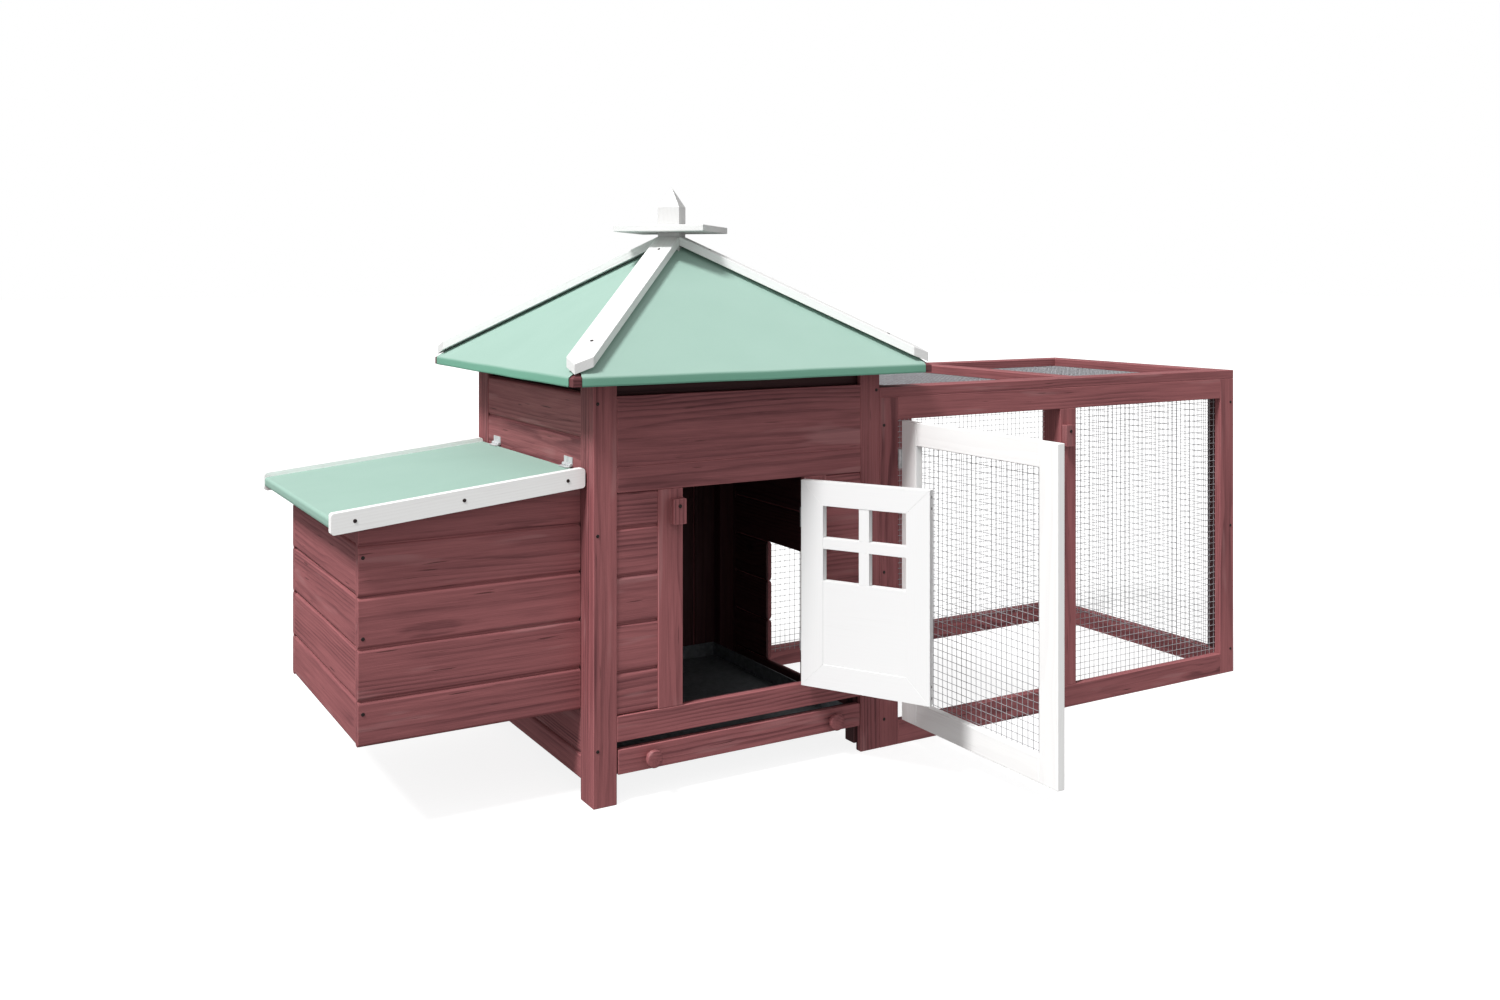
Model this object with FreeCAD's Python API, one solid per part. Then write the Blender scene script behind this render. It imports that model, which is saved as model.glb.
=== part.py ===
"""Chicken coop with a pyramid-roofed house, a nest box on its left and a wire run on its right.

Built in millimetres, +Z up, +Y towards the back, +X from the nest box to the run. While it is
being built the origin is the front left bottom corner of the house; at the end everything moves
so that the origin is the bottom centre of the whole object, with the doors as they stand.
"""
import os
import FreeCAD, Part
from math import atan2, cos, degrees, hypot, radians, sin, tan

V = FreeCAD.Vector

# ---- driving dimensions ---------------------------------------------------------------------
# timber
MEMBER = 42.0                # width of every frame member
BOARD = 15.0                 # thickness of the house frames, wall boards and door
RUN_BOARD = 15.0             # thickness of the run's upright frames and of its door
RECESS = 2.0                 # how far wall boards sit behind the frame's face
MESH = 1.2                   # thickness of a wire mesh panel
MESH_LAP = 12.0              # how far mesh laps onto the frame it is stapled to
SEAT = 0.3                   # gap between pieces that rest against each other

# house
HOUSE_WIDTH = 568.0
HOUSE_DEPTH = 540.0
WALL_TOP = 684.0             # underside of the eave
WALL_FOOT = 30.0             # lower edge of the side and back walls
CORNER_POST = (32.0, 27.0)   # section of the posts inside the corners
CORNER_FOOT = 12.0           # their lower ends stay off the ground
RIGHT_WALL_FOOT = 10.0       # so do the right wall's stiles
SILL_FOOT = 101.0            # lower edge of the rail below the door
DOORWAY_WIDTH = 242.0
DOORWAY_HEIGHT = 361.0
DOOR_STILE = 46.0
FRONT_PITCH = 78.0           # height of a front wall board
FRONT_FIRST = 69.0           # height of the lowest front wall board
SIDE_FIRST = 73.0            # upper edge of the lowest side wall board
LEFT_PITCH = 74.0            # height of a left wall board
RIGHT_PITCH = 80.0           # height of a right wall board
BACK_PITCH = 72.0            # width of a back wall board
GROOVE = 1.5                 # open joint between two wall boards
SIDE_STILE = 36.0            # visible width of a side wall's stiles

# roof
EAVE_SIDE = 67.0             # overhang to the left and right
EAVE_FRONT = 70.0            # overhang to the front and back
EAVE_HEIGHT = 15.0           # height of the folded edge
ROOF_RISE = 224.0            # from the top of the folded edge to the apex
FELT = 2.0
PLATE = (28.0, 70.0)         # section of the plates that carry the roof
FELT_NOTCH = 17.0            # radius of the open corner of the folded felt
BATTEN = (45.0, 15.0)        # section of a hip batten
BATTEN_BACK = 6.0            # from a batten's point to the eave
BATTEN_SCREWS = (75.0, 95.0) # from a batten's upper and lower end
FINIAL = 42.0                # section of the finial's post
FINIAL_PLATE = (172.0, 12.0)
FINIAL_GAP = 15.0            # from the apex to the finial's plate
FINIAL_POST = 36.0           # straight part of the post
FINIAL_TIP = 38.0            # its pointed top
KING_DEPTH = 40.0            # how far the king block reaches below the apex

# pop hole from the house to the run, and hole from the house to the nest
POP_WIDTH = 230.0
POP_NEAR = 135.0             # from the front of the house
NEST_HOLE_WIDTH = 330.0
HOLE_ROWS = 3                # rows of boards that each hole takes out
NEST_HOLE_ROW = 2            # rows between the nest hole and the lowest joint

# nest box
NEST_LENGTH = 363.0
NEST_DEPTH = 444.0
NEST_NEAR = 50.0             # from the front of the house
NEST_FOOT = 147.0
NEST_PITCH = 78.0
NEST_FIRST = 216.0
NEST_FLOOR = 9.0
NEST_SCREWS = (50.0, 163.0, 285.0)   # heights above the nest's foot
LID_RISE = 538.0             # height of the lid's felt at the house wall
LID_SLOPE = 5.6              # degrees
LID_OUT = 46.0               # how far the lid hangs out past the nest's end
LID_SIDE = 26.0              # how far it stands out past the front and back, trims included
LID_BOARD = 12.0
LID_TRIM = (15.0, 32.0)
TRIM_LIP = 8.0               # how far the trims rise above the felt
LID_GAP = 1.0                # under the lid board when it is shut
TRIM_ROUND = 5.0             # rounding of the trims' ends
TRIM_SCREWS = (35.0, 30.0)   # from a trim's outer and inner end

# tray
TRAY_FOOT = 48.0
TRAY_FRONT = 40.0
TRAY_SIDE_GAP = 2.0
TRAY_PAN = 1.5               # thickness of the pan's sheet
TRAY_RIM = 28.0
RUNNER = (46.0, 16.0)        # section of a runner
KNOB = (15.0, 7.5, 18.0)     # radius, neck radius, how far it stands out
KNOB_SPREAD = 362.0

# house door
DOOR_GAP = 2.0
HINGE_GAP = 3.0
DOOR_OPEN = 120.0            # degrees open as it stands
MUNTIN = 19.0
PANE_HEIGHT = 55.0
MUNTIN_THICK = 13.5
DOOR_PANEL = 13.5
EDGE_SCREWS = (12.0, 31.0)    # from a door's end to the screws in its edge

# run
RUN_LENGTH = 952.0
RUN_HEIGHT = 654.0
ROOF_BOARD = 18.0
RUN_RAIL = 43.5              # height of the bottom rails
RUN_HEAD = 42.0              # height of the top rails
RUN_DOORWAY = 402.0
BACKING_POST = 30.0          # depth of the post behind the middle post
ROOF_BAR = 430.0             # from the run's right end to the middle roof bar's right edge
RUN_DOOR_OPEN = 90.0

# hinges and turn buttons
BARREL = 2.6
PIN = 1.5
PIN_FIT = 0.06
LEAF = 1.0
LEAF_OFFSET = 0.5            # from the pin's axis to the near face of a butt leaf
AXIS_OUT = 3.0               # from the wall's face to a door hinge's axis
HINGE_HEIGHT = 35.0
HINGE_INSET = 70.0           # from a door's end to the middle of its hinge
LID_HINGE_INSET = 80.0
LID_HINGE = (13.0, 9.5)      # width of its leaf on the wall and of its leaf on the lid
KNUCKLES = 3
KNUCKLE_GAP = 0.3
BUTTON = (24.0, 12.0, 42.0)
BUTTON_ROUND = 1.0
BUTTON_PIVOT = 12.0          # from the button's upper end to its screw
BUTTON_DROP = 28.0           # from the doorway's top to the house button's screw
RUN_BUTTON_DROP = 44.0
BUTTON_SIDE = 4.0            # from the run's doorway to its button
BUTTON_SCREW = 2.0
BUTTON_FIT = 0.06
HEAD = (3.2, 1.0)            # radius and height of a screw head
LEG_SCREWS = (92.0, 438.0, 650.0)    # heights on the house's front legs
POST_SCREW_INSET = 10.0      # from the outer edge of the run's posts
POST_SCREW_MARGIN = 0.08     # share of a post's height above and below its screws

# ---- sizes that follow ----------------------------------------------------------------------
SILL = SILL_FOOT + MEMBER
DOOR_HEAD = SILL + DOORWAY_HEIGHT
HEAD_TOP = DOOR_HEAD + MEMBER
DOORWAY_LEFT = (HOUSE_WIDTH - DOORWAY_WIDTH) / 2
DOORWAY_RIGHT = DOORWAY_LEFT + DOORWAY_WIDTH
RUN_LEFT = HOUSE_WIDTH
RUN_RIGHT = RUN_LEFT + RUN_LENGTH
FRAME_TOP = RUN_HEIGHT - ROOF_BOARD
RUN_DOOR_LEFT = RUN_LEFT + MEMBER
RUN_DOOR_RIGHT = RUN_DOOR_LEFT + RUN_DOORWAY
RUN_DOOR_HEAD = FRAME_TOP - RUN_HEAD
BAR_RIGHT = RUN_RIGHT - ROOF_BAR
EAVE_TOP = WALL_TOP + EAVE_HEIGHT
APEX = EAVE_TOP + ROOF_RISE
CENTRE = V(HOUSE_WIDTH / 2, HOUSE_DEPTH / 2, 0)
HALF_X = HOUSE_WIDTH / 2 + EAVE_SIDE
HALF_Y = HOUSE_DEPTH / 2 + EAVE_FRONT
NEST_LEFT = -NEST_LENGTH
NEST_FAR = NEST_NEAR + NEST_DEPTH
SLOPE = tan(radians(LID_SLOPE))

nodes = {}                   # node name: list of solids
bodies = {}                  # body name: list of node names


# ---- small tools ----------------------------------------------------------------------------
def block(x0, y0, z0, x1, y1, z1):
    """A box between two corners."""
    return Part.makeBox(x1 - x0, y1 - y0, z1 - z0, V(x0, y0, z0))


def rod(radius, start, direction, length):
    return Part.makeCylinder(radius, length, start, direction)


def prism(points, depth):
    """Extrude the closed outline through the given points by a vector."""
    outline = Part.makePolygon([V(*p) for p in points] + [V(*points[0])])
    return Part.Face(outline).extrude(depth)


def hull_of(faces):
    """Make a solid from lists of corner points, one list for each flat face."""
    shell = Part.makeShell([Part.Face(Part.makePolygon([V(*p) for p in f] + [V(*f[0])]))
                            for f in faces])
    return Part.Solid(shell)


def turned(shape, pivot, axis, angle):
    copy = shape.copy()
    copy.rotate(pivot, axis, angle)
    return copy


def keep(body, name, *shapes):
    """Add solids to a node and list the node under its body."""
    if name not in nodes:
        nodes[name] = []
        bodies.setdefault(body, []).append(name)
    nodes[name] += [solid for shape in shapes for solid in shape.Solids]


def bands(low, high, first, pitch, gap):
    """Split low..high at first, first + pitch, ... and leave the gap at each joint."""
    joints, joint = [], first
    while joint < high - pitch / 4:
        if joint > low + pitch / 4:
            joints.append(joint)
        joint += pitch
    edges = [low] + joints + [high]
    return [(a + (gap / 2 if a != low else 0), b - (gap / 2 if b != high else 0))
            for a, b in zip(edges, edges[1:])]


def screw_heads(spots, direction):
    """Low domed screw heads that sit on a face and stand out along the direction."""
    radius, height = HEAD
    heads = []
    for spot in spots:
        head = rod(radius, spot, direction, height)
        rim = [e for e in head.Edges if e.CenterOfMass.distanceToPoint(spot) > height / 2]
        round_edges = [e for e in rim if len(e.Vertexes) == 1]
        heads.append(head.makeFillet(height * 0.45, round_edges))
    return heads


# ---- house ----------------------------------------------------------------------------------
def front_wall():
    """A frame of boards with a doorway in the middle and wall boards either side of it."""
    width = HOUSE_WIDTH
    keep("coop", "front_legs", block(0, 0, 0, MEMBER, BOARD, WALL_TOP))
    keep("coop", "front_legs", block(width - MEMBER, 0, 0, width, BOARD, WALL_TOP))
    for x in (DOORWAY_LEFT - DOOR_STILE, DOORWAY_RIGHT):
        keep("coop", "door_jambs", block(x, 0, SILL, x + DOOR_STILE, BOARD, DOOR_HEAD))
    inside = (MEMBER, width - MEMBER)
    keep("coop", "front_sill_rail", block(inside[0], 0, SILL_FOOT, inside[1], BOARD, SILL))
    keep("coop", "front_head_rail", block(inside[0], 0, DOOR_HEAD, inside[1], BOARD, HEAD_TOP))
    keep("coop", "front_upper_board", block(inside[0], 0, HEAD_TOP, inside[1], BOARD, WALL_TOP))
    for x0, x1 in ((MEMBER, DOORWAY_LEFT - DOOR_STILE), (DOORWAY_RIGHT + DOOR_STILE, width - MEMBER)):
        boards = [block(x0, RECESS, a, x1, BOARD, b)
                  for a, b in bands(SILL, DOOR_HEAD, SILL + FRONT_FIRST, FRONT_PITCH, GROOVE)]
        keep("coop", "front_boards", *boards)


def side_walls():
    """Left and right walls: stiles at their ends and level boards between them."""
    near, far = BOARD, HOUSE_DEPTH - BOARD
    stile_near, stile_far = near + SIDE_STILE, far - SIDE_STILE
    post_x, post_y = CORNER_POST
    for side, outer, inner, foot, pitch in (
            ("left", 0.0, BOARD, 0.0, LEFT_PITCH),
            ("right", HOUSE_WIDTH, HOUSE_WIDTH - BOARD, RIGHT_WALL_FOOT, RIGHT_PITCH)):
        rows = bands(WALL_FOOT, WALL_TOP, SIDE_FIRST, pitch, GROOVE)
        x0, x1 = min(outer, inner), max(outer, inner)
        keep("coop", side + "_wall_stiles",
             block(x0, near, foot, x1, stile_near, WALL_TOP),
             block(x0, stile_far, foot, x1, far, WALL_TOP))
        skin = RECESS if side == "left" else -RECESS
        b0, b1 = min(outer + skin, inner), max(outer + skin, inner)
        boards = [block(b0, stile_near, a, b1, stile_far, b) for a, b in rows]
        hole = nest_hole() if side == "left" else pop_hole()
        boards = [board.cut(hole) for board in boards]
        keep("coop", side + "_wall_boards", *[b for b in boards if b.Solids])
        inset = inner if side == "left" else inner - post_x
        keep("coop", "corner_posts",
             block(inset, near, CORNER_FOOT, inset + post_x, near + post_y, WALL_TOP - PLATE[1] / 3),
             block(inset, far - post_y, CORNER_FOOT, inset + post_x, far, WALL_TOP - PLATE[1] / 3))


def nest_hole():
    """The hole in the left wall that leads to the nest box."""
    middle = NEST_NEAR + NEST_DEPTH / 2
    sill = SIDE_FIRST + NEST_HOLE_ROW * LEFT_PITCH
    return block(-BOARD, middle - NEST_HOLE_WIDTH / 2, sill - GROOVE / 2, 2 * BOARD,
                 middle + NEST_HOLE_WIDTH / 2, sill + HOLE_ROWS * LEFT_PITCH + GROOVE / 2)


def pop_hole():
    """The hole in the right wall that leads to the run."""
    x = HOUSE_WIDTH
    return block(x - 2 * BOARD, POP_NEAR, SIDE_FIRST - GROOVE / 2, x + BOARD,
                 POP_NEAR + POP_WIDTH, SIDE_FIRST + HOLE_ROWS * RIGHT_PITCH + GROOVE / 2)


def back_wall():
    """Two legs, two rails and upright boards between them."""
    far, width = HOUSE_DEPTH, HOUSE_WIDTH
    keep("coop", "back_legs", block(0, far - BOARD, 0, MEMBER, far, WALL_TOP),
         block(width - MEMBER, far - BOARD, 0, width, far, WALL_TOP))
    low, high = WALL_FOOT + MEMBER, WALL_TOP - MEMBER
    keep("coop", "back_rails", block(MEMBER, far - BOARD, WALL_FOOT, width - MEMBER, far, low),
         block(MEMBER, far - BOARD, high, width - MEMBER, far, WALL_TOP))
    boards = [block(a, far - BOARD, low, b, far - RECESS, high)
              for a, b in bands(MEMBER, width - MEMBER, MEMBER + BACK_PITCH, BACK_PITCH, GROOVE)]
    keep("coop", "back_boards", *boards)


def roof_level(x, y):
    """Height of the deck's underside above a point."""
    drop = max(abs(x - CENTRE.x) * ROOF_RISE / HALF_X, abs(y - CENTRE.y) * ROOF_RISE / HALF_Y)
    return WALL_TOP + ROOF_RISE - drop


def wall_plates():
    """Plates inside the top of the walls; the roof deck rests on their outer top edges."""
    thick, tall = PLATE
    foot = WALL_TOP - tall / 3
    x0, x1 = BOARD, HOUSE_WIDTH - BOARD
    y0, y1 = BOARD, HOUSE_DEPTH - BOARD
    long_top = roof_level(CENTRE.x, y0) - FELT - SEAT
    side_top = roof_level(x0, CENTRE.y) - FELT - SEAT
    keep("coop", "wall_plates",
         block(x0, y0, foot, x1, y0 + thick, long_top).common(under_deck()),
         block(x0, y1 - thick, foot, x1, y1, long_top).common(under_deck()),
         block(x0, y0 + thick, foot, x0 + thick, y1 - thick, side_top),
         block(x1 - thick, y0 + thick, foot, x1, y1 - thick, side_top))


def pyramid(half_x, half_y, foot, shoulder, rise):
    """A block with upright sides up to the shoulder and a pyramid on top of it."""
    def ring(z):
        return [(CENTRE.x + i * half_x, CENTRE.y + j * half_y, z)
                for i, j in ((-1, -1), (1, -1), (1, 1), (-1, 1))]
    low, high = ring(foot), ring(shoulder)
    tip = (CENTRE.x, CENTRE.y, shoulder + rise)
    faces = [low]
    for i in range(4):
        j = (i + 1) % 4
        faces.append([high[i], high[j], tip])
        if shoulder > foot:
            faces.append([low[i], low[j], high[j], high[i]])
    return hull_of(faces)


def roof_shapes():
    """Outer faces of the felt, of the deck under it, and of the hollow under the deck."""
    felt = pyramid(HALF_X, HALF_Y, WALL_TOP, EAVE_TOP, ROOF_RISE)
    deck_x, deck_y = HALF_X - FELT, HALF_Y - FELT
    deck = pyramid(deck_x, deck_y, WALL_TOP, EAVE_TOP - FELT, ROOF_RISE)
    hollow = pyramid(deck_x, deck_y, WALL_TOP, WALL_TOP, ROOF_RISE)
    return felt, deck, hollow


def under_deck():
    """The space under the deck, a seating gap clear of it."""
    hollow = roof_shapes()[2]
    hollow.translate(V(0, 0, -SEAT))
    floor = block(CENTRE.x - HALF_X, CENTRE.y - HALF_Y, 0, CENTRE.x + HALF_X,
                  CENTRE.y + HALF_Y, WALL_TOP)
    return hollow.fuse(floor)


def roof_sector(index):
    """The wedge of space that holds one of the four roof slopes."""
    corners = [(-1, -1), (1, -1), (1, 1), (-1, 1)]
    spread = 1.2
    a, b = corners[index], corners[(index + 1) % 4]
    points = [(CENTRE.x, CENTRE.y, 0)]
    for i, j in (a, b):
        points.append((CENTRE.x + i * HALF_X * spread, CENTRE.y + j * HALF_Y * spread, 0))
    return prism(points, V(0, 0, APEX + ROOF_RISE))


def diamond(size, z0, z1):
    """A square bar that stands on the apex, turned by 45 degrees."""
    half = size / 2
    bar = block(CENTRE.x - half, CENTRE.y - half, z0, CENTRE.x + half, CENTRE.y + half, z1)
    return turned(bar, CENTRE, V(0, 0, 1), 45)


def roof():
    """Four deck panels under four felt sheets, with the king block through the apex."""
    felt, deck, hollow = roof_shapes()
    king_hole = diamond(FINIAL + 2 * SEAT, 0, APEX + ROOF_RISE)
    for i in range(4):
        corner = V(CENTRE.x + (-1, 1, 1, -1)[i] * HALF_X, CENTRE.y + (-1, -1, 1, 1)[i] * HALF_Y, 0)
        felt = felt.cut(rod(FELT_NOTCH, corner, V(0, 0, 1), EAVE_TOP + FELT_NOTCH))
    skin = felt.cut(deck).cut(king_hole)
    shell = deck.cut(hollow).cut(king_hole)
    keep("coop", "roof_deck", *[shell.common(roof_sector(i)) for i in range(4)])
    keep("coop", "roof_felt", *[skin.common(roof_sector(i)) for i in range(4)])


def hip_batten(index):
    """A flat batten on one hip, from the king block to a point just inside the eave's corner."""
    width, thick = BATTEN
    i, j = (-1, 1, 1, -1)[index], (-1, -1, 1, 1)[index]
    run = hypot(HALF_X, HALF_Y)
    pitch = atan2(ROOF_RISE, run)
    length = run / cos(pitch) + width
    strip = block(0, -width / 2, 0, length, width / 2, thick)
    strip.rotate(V(0, 0, 0), V(0, 1, 0), degrees(pitch))
    strip.rotate(V(0, 0, 0), V(0, 0, 1), degrees(atan2(j * HALF_Y, i * HALF_X)))
    strip.translate(V(CENTRE.x, CENTRE.y, APEX + SEAT / cos(pitch)))
    x = sorted((CENTRE.x, CENTRE.x + i * (HALF_X - BATTEN_BACK)))
    y = sorted((CENTRE.y, CENTRE.y + j * (HALF_Y - BATTEN_BACK)))
    room = block(x[0], y[0], 0, x[1], y[1], APEX + ROOF_RISE)
    return strip.common(room).cut(diamond(FINIAL + 2 * SEAT, 0, APEX + ROOF_RISE))


def hip_screws(index):
    """Two screw heads on a hip batten, one near each end."""
    i, j = (-1, 1, 1, -1)[index], (-1, -1, 1, 1)[index]
    run = hypot(HALF_X, HALF_Y)
    pitch = atan2(ROOF_RISE, run)
    along = V(i * HALF_X / run * cos(pitch), j * HALF_Y / run * cos(pitch), -sin(pitch))
    normal = V(i * HALF_X / run * sin(pitch), j * HALF_Y / run * sin(pitch), cos(pitch))
    top = V(CENTRE.x, CENTRE.y, APEX + SEAT / cos(pitch)) + normal * BATTEN[1]
    reach = run / cos(pitch)
    upper, lower = BATTEN_SCREWS
    return screw_heads([top + along * upper, top + along * (reach - lower)], normal)


def roof_trim():
    """Hip battens, their screws and the finial on its plate."""
    keep("coop", "hip_battens", *[hip_batten(i) for i in range(4)])
    keep("coop", "coop_screws", *[head for i in range(4) for head in hip_screws(i)])
    side, thick = FINIAL_PLATE
    plate_foot = APEX + FINIAL_GAP
    keep("coop", "finial_king_block", diamond(FINIAL, APEX - KING_DEPTH, plate_foot))
    keep("coop", "finial_plate", diamond(side, plate_foot, plate_foot + thick))
    post_foot = plate_foot + thick
    post = diamond(FINIAL, post_foot, post_foot + FINIAL_POST)
    reach = FINIAL / 2 ** 0.5
    top = post_foot + FINIAL_POST
    ring = [(CENTRE.x + i * reach, CENTRE.y + j * reach, top)
            for i, j in ((-1, 0), (0, -1), (1, 0), (0, 1))]
    tip = (CENTRE.x, CENTRE.y, top + FINIAL_TIP)
    spire = hull_of([ring] + [[ring[k], ring[(k + 1) % 4], tip] for k in range(4)])
    keep("coop", "finial_post", post.fuse(spire).removeSplitter())


# ---- nest box -------------------------------------------------------------------------------
def lid_level(x):
    """Height of the lid's felt above x."""
    return LID_RISE + x * SLOPE


def sloped_board(x0, x1, y0, y1, low, high_of):
    """An upright board whose upper edge follows the lid."""
    points = [(x0, y0, low), (x1, y0, low), (x1, y0, high_of(x1)), (x0, y0, high_of(x0))]
    return prism(points, V(0, y1 - y0, 0))


def nest_box():
    """Front, back and end of level boards, and a floor, open to the house and to the lid."""
    under = LID_BOARD / cos(radians(LID_SLOPE)) + FELT + LID_GAP

    def top(x):
        return lid_level(x) - under

    rows = bands(NEST_FOOT, top(-BOARD) + 1, NEST_FIRST, NEST_PITCH, GROOVE)
    for y0 in (NEST_NEAR, NEST_FAR - BOARD):
        boards = [sloped_board(NEST_LEFT, -SEAT, y0, y0 + BOARD, NEST_FOOT, top).common(
            block(NEST_LEFT, y0, a, 0, y0 + BOARD, b)) for a, b in rows]
        keep("coop", "nest_side_boards", *boards)
    y0, y1 = NEST_NEAR + BOARD, NEST_FAR - BOARD
    end = sloped_board(NEST_LEFT, NEST_LEFT + BOARD, y0, y1, NEST_FOOT, top)
    boards = [end.common(block(NEST_LEFT, y0, a, NEST_LEFT + BOARD, y1, b)) for a, b in rows]
    keep("coop", "nest_end_boards", *[b for b in boards if b.Solids])
    keep("coop", "nest_floor", block(NEST_LEFT + BOARD, y0, NEST_FOOT, -SEAT, y1,
                                     NEST_FOOT + NEST_FLOOR))
    spots = [V(NEST_LEFT + BOARD / 2, NEST_NEAR, NEST_FOOT + z) for z in NEST_SCREWS]
    keep("coop", "coop_screws", *screw_heads(spots, V(0, -1, 0)))


def lid_axis():
    """Point on the lid's hinge axis, in front of the left wall's boards."""
    return V(RECESS - BARREL, 0, LID_RISE + BARREL + FELT / 2)


def nest_lid():
    """A felted board between two trims, hinged to the house wall."""
    angle = radians(LID_SLOPE)
    left = NEST_LEFT - LID_OUT
    right = lid_axis().x - BARREL - SEAT
    y0, y1 = NEST_NEAR - LID_SIDE, NEST_FAR + LID_SIDE
    trim, trim_height = LID_TRIM

    def strip(x0, x1, ya, yb, top, bottom):
        """A sloping slab between two levels, counted down from the felt's face."""
        points = [(x0, ya, lid_level(x0) - bottom), (x1, ya, lid_level(x1) - bottom),
                  (x1, ya, lid_level(x1) - top), (x0, ya, lid_level(x0) - top)]
        return prism(points, V(0, yb - ya, 0))

    board_down = LID_BOARD / cos(angle)
    inner = (y0 + trim, y1 - trim)
    keep("nest_lid", "nest_lid_board",
         strip(left + FELT, right, inner[0], inner[1], FELT, FELT + board_down))
    sheet = strip(left, right, inner[0], inner[1], 0, FELT)
    fold = strip(left, left + FELT, inner[0], inner[1], 0, FELT + board_down)
    keep("nest_lid", "nest_lid_felt", sheet.fuse(fold).removeSplitter())
    trims = []
    for ya in (y0, y1 - trim):
        bar = strip(left, right, ya, ya + trim, -TRIM_LIP, trim_height - TRIM_LIP)
        ends = [e for e in bar.Edges if abs(e.Length - trim) < 0.01]
        trims.append(bar.makeFillet(TRIM_ROUND, ends))
    keep("nest_lid", "nest_lid_trims", *trims)
    middle = trim_height / 2 - TRIM_LIP
    outer, inner = left + TRIM_SCREWS[0], right - TRIM_SCREWS[1]
    spots = [V(x, 0, lid_level(x) - middle) for x in (outer, (left + right) / 2, inner)]
    front = screw_heads([V(s.x, y0, s.z) for s in spots], V(0, -1, 0))
    back = screw_heads([V(s.x, y1, s.z) for s in spots], V(0, 1, 0))
    keep("nest_lid", "nest_lid_screws", *front, *back)


# ---- hinges ---------------------------------------------------------------------------------
def knuckle_spans(length, own):
    """Spans along the pin of a leaf's own knuckles, or of the other leaf's."""
    step = length / KNUCKLES
    spans = []
    for k in range(KNUCKLES):
        if (k % 2 == 0) == own:
            spans.append((k * step, (k + 1) * step))
    return spans


def hinge_leaf(length, width, outer, offset):
    """A leaf along local +X with its knuckles about local Z; a negative offset mirrors it."""
    near, far = (offset, offset + LEAF) if offset > 0 else (offset - LEAF, offset)
    leaf = block(0, near, 0, width, far, length)
    for low, high in knuckle_spans(length, not outer):
        leaf = leaf.cut(rod(BARREL + KNUCKLE_GAP, V(0, 0, low - KNUCKLE_GAP), V(0, 0, 1),
                            high - low + 2 * KNUCKLE_GAP))
    for low, high in knuckle_spans(length, outer):
        trim = KNUCKLE_GAP / 2
        leaf = leaf.fuse(rod(BARREL, V(0, 0, low + trim), V(0, 0, 1), high - low - 2 * trim))
    bore = rod(PIN + PIN_FIT, V(0, 0, -1), V(0, 0, 1), length + 2)
    return leaf.cut(bore).removeSplitter()


def upright(shape, axis_x, axis_y, z):
    """Stand a leaf up at a door hinge, with its plate running inwards."""
    return turned(shape, V(0, 0, 0), V(0, 0, 1), 90).translated(V(axis_x, axis_y, z))


def door_hinges(prefix, body, axis, levels, door_side, swing):
    """Butt hinges: fixed leaves on the jamb, moving leaves on the door's edge, and pins."""
    width = min(BOARD, RUN_BOARD) - 2 + AXIS_OUT
    fixed, moving, pins = [], [], []
    for z in levels:
        foot = z - HINGE_HEIGHT / 2
        fixed.append(upright(hinge_leaf(HINGE_HEIGHT, width, True, -door_side * LEAF_OFFSET),
                             axis.x, axis.y, foot))
        leaf = upright(hinge_leaf(HINGE_HEIGHT, width, False, door_side * LEAF_OFFSET),
                       axis.x, axis.y, foot)
        moving.append(turned(leaf, axis, V(0, 0, 1), swing))
        pins.append(rod(PIN, V(axis.x, axis.y, foot), V(0, 0, 1), HINGE_HEIGHT))
    keep("coop", "door_hinge_jamb_leaves", *fixed)
    keep("coop", "hinge_pins", *pins)
    keep(body, prefix + "_hinge_door_leaves", *moving)


def lid_hinges():
    """Hinges between the lid's felt and the house wall."""
    axis = lid_axis()
    fixed, moving, pins = [], [], []
    offset = BARREL - LEAF
    wall_width, lid_width = LID_HINGE
    for y in (NEST_NEAR - LID_SIDE + LID_HINGE_INSET, NEST_FAR + LID_SIDE - LID_HINGE_INSET):
        foot = V(axis.x, y + HINGE_HEIGHT / 2, axis.z)
        wall = hinge_leaf(HINGE_HEIGHT, wall_width, True, -offset)
        wall = turned(turned(wall, V(0, 0, 0), V(1, 0, 0), 90), V(0, 0, 0), V(0, 1, 0), -90)
        lid = hinge_leaf(HINGE_HEIGHT, lid_width, False, offset)
        lid = turned(turned(lid, V(0, 0, 0), V(1, 0, 0), 90), V(0, 0, 0), V(0, 1, 0),
                     180 - LID_SLOPE)
        fixed.append(wall.translated(foot))
        moving.append(lid.translated(foot))
        pins.append(rod(PIN, foot, V(0, -1, 0), HINGE_HEIGHT))
    keep("coop", "nest_lid_hinge_wall_leaves", *fixed)
    keep("coop", "hinge_pins", *pins)
    keep("nest_lid", "nest_lid_hinge_lid_leaves", *moving)


# ---- doors ----------------------------------------------------------------------------------
def house_axis():
    return V(DOORWAY_RIGHT - HINGE_GAP / 2, -AXIS_OUT, 0)


def run_axis():
    return V(RUN_DOOR_LEFT + HINGE_GAP / 2, -AXIS_OUT, 0)


def mitred_frame(x0, x1, z0, z1, thick, member):
    """Four members with mitred corners, in the plane of the wall."""
    outer = [(x0, z0), (x1, z0), (x1, z1), (x0, z1)]
    inner = [(x0 + member, z0 + member), (x1 - member, z0 + member),
             (x1 - member, z1 - member), (x0 + member, z1 - member)]
    members = []
    for i in range(4):
        j = (i + 1) % 4
        corners = [outer[i], outer[j], inner[j], inner[i]]
        members.append(prism([(x, 0, z) for x, z in corners], V(0, thick, 0)))
    return members


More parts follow.
